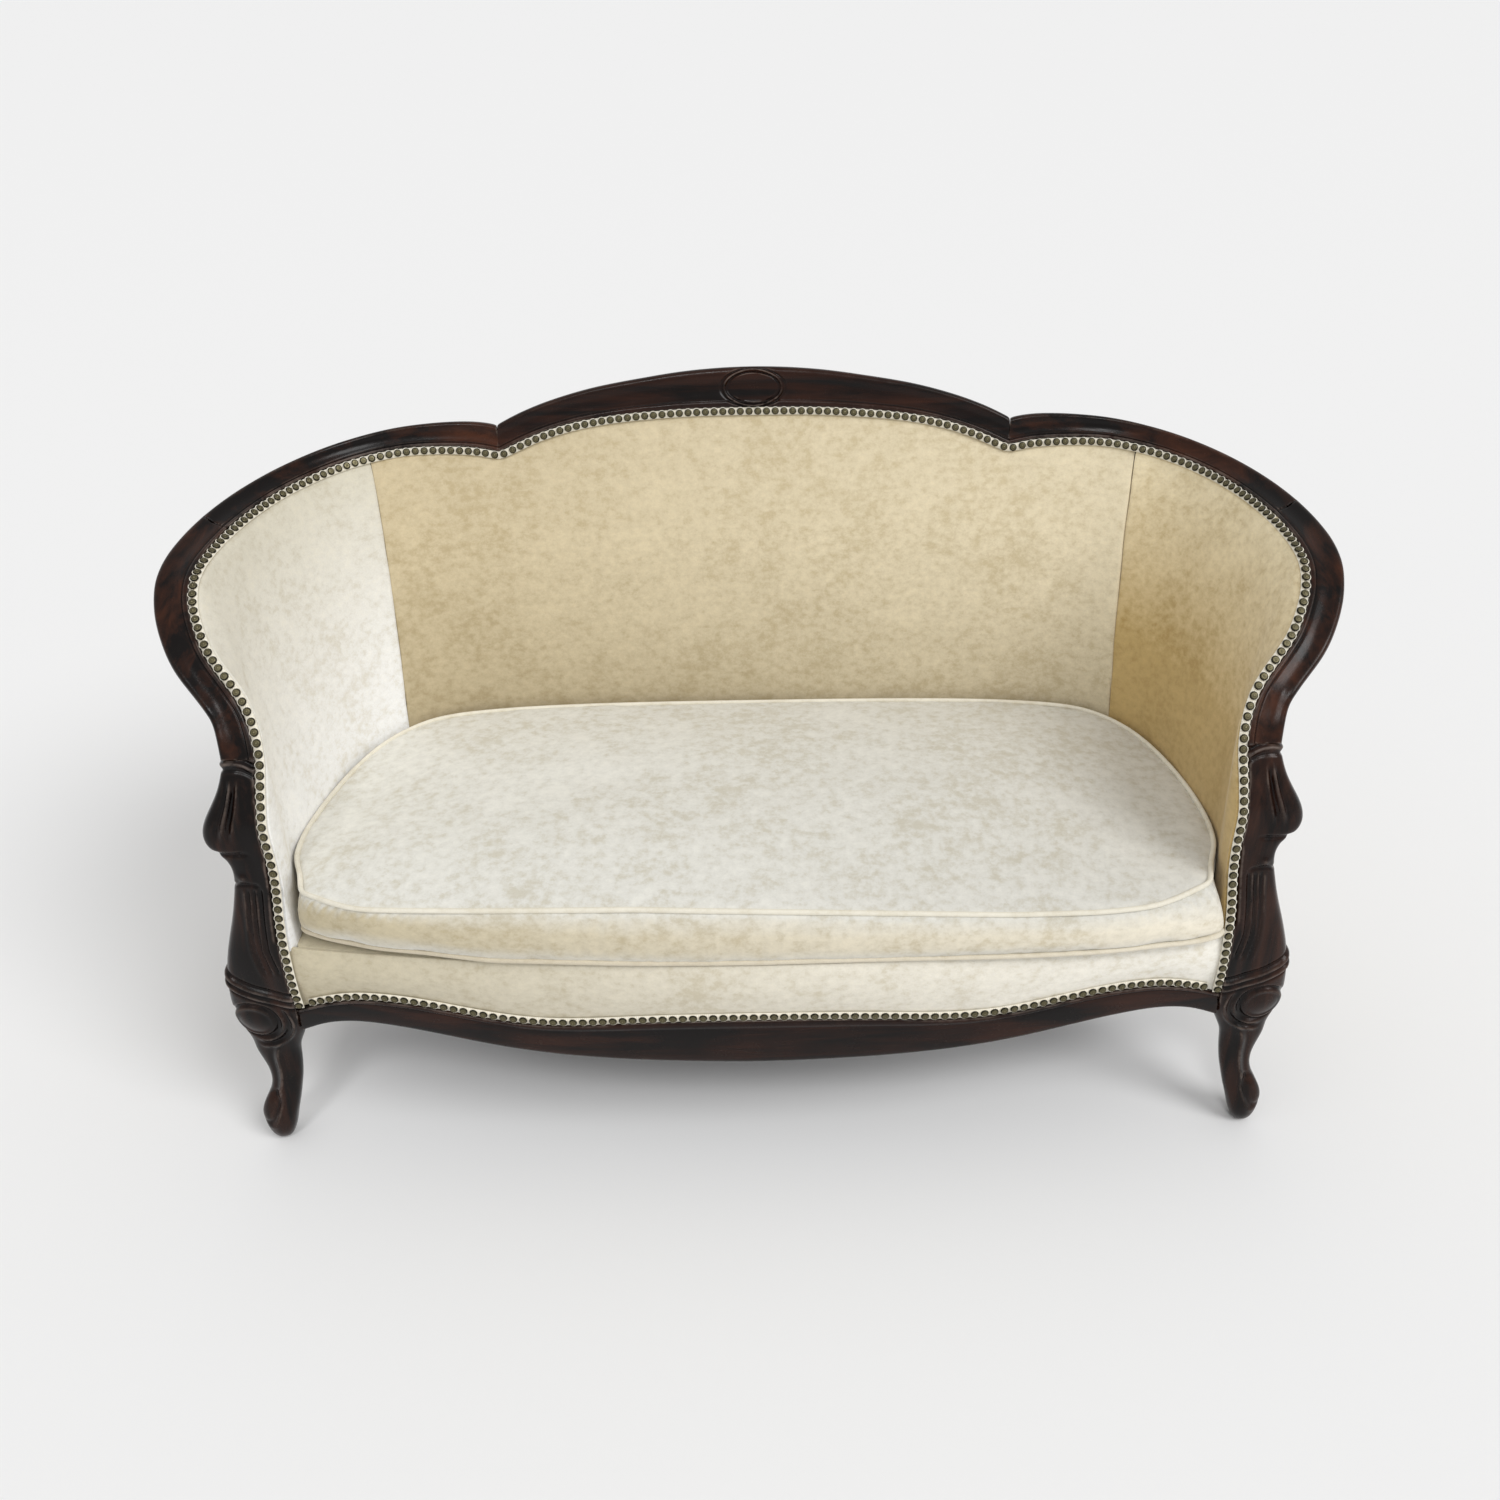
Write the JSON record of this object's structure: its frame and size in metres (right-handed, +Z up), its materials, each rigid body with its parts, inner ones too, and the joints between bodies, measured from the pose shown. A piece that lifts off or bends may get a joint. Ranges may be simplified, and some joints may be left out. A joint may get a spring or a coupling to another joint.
{
  "type": "cabriole sofa",
  "caption": "Cabriole sofa with a carved and moulded dark show-wood frame, close-nailed velvet back and arms, and one loose seat cushion that lifts off.",
  "frame": {"origin": "middle of the sofa's outline on the floor, at the soles of its feet", "axes": "+X is the viewer's right when facing the sofa, +Y is from front to back so the sofa faces -Y, +Z is up"},
  "size_m": [1.6054, 0.7655, 0.9585],
  "materials": {
    "show_wood": "satin",
    "beech": "matte",
    "velvet": "matte",
    "cushion_velvet": "matte",
    "cream_edge": "matte",
    "brass": "satin",
    "jute": "matte",
    "steel": "satin",
    "black_cloth": "matte"
  },
  "bodies": {
    "frame": {"crest_rail": "show_wood", "left_shoulder_rail": "show_wood", "right_shoulder_rail": "show_wood", "left_arm_rail": "show_wood", "right_arm_rail": "show_wood", "left_front_leg": "show_wood", "right_front_leg": "show_wood", "front_rail": "show_wood", "left_side_rail": "beech", "right_side_rail": "beech", "back_seat_rail": "beech", "left_back_leg": "show_wood", "right_back_leg": "show_wood", "left_arm_stuffing_rail": "beech", "right_arm_stuffing_rail": "beech", "back_stuffing_rail": "beech", "back_uprights": "beech", "webbing_batten": "beech", "corner_blocks": "beech", "corner_block_screws": "steel", "frame_dowels": "beech", "seat_webbing": "jute", "seat_springs": "steel", "spring_canvas": "jute", "seat_deck": "velvet", "front_band": "velvet", "back_webbing": "jute", "inside_back": "velvet", "left_inside_arm": "velvet", "right_inside_arm": "velvet", "outside_back": "velvet", "left_outside_arm": "velvet", "right_outside_arm": "velvet", "dust_cover": "black_cloth", "hem_strip": "cream_edge", "left_crest_nails": "brass", "right_crest_nails": "brass", "left_shoulder_nails": "brass", "right_shoulder_nails": "brass", "left_arm_nails": "brass", "right_arm_nails": "brass", "left_leg_nails": "brass", "right_leg_nails": "brass", "left_front_nails": "brass", "middle_front_nails": "brass", "right_front_nails": "brass"},
    "cushion": {"seat_cushion": "cushion_velvet", "cushion_top_welt": "cushion_velvet", "cushion_bottom_welt": "cushion_velvet"}
  },
  "joints": [
    {"name": "cushion_lift", "type": "slide", "parent": "frame", "child": "cushion", "axis": [0, 0, 1], "range_m": [0, 0.62]}
  ]
}
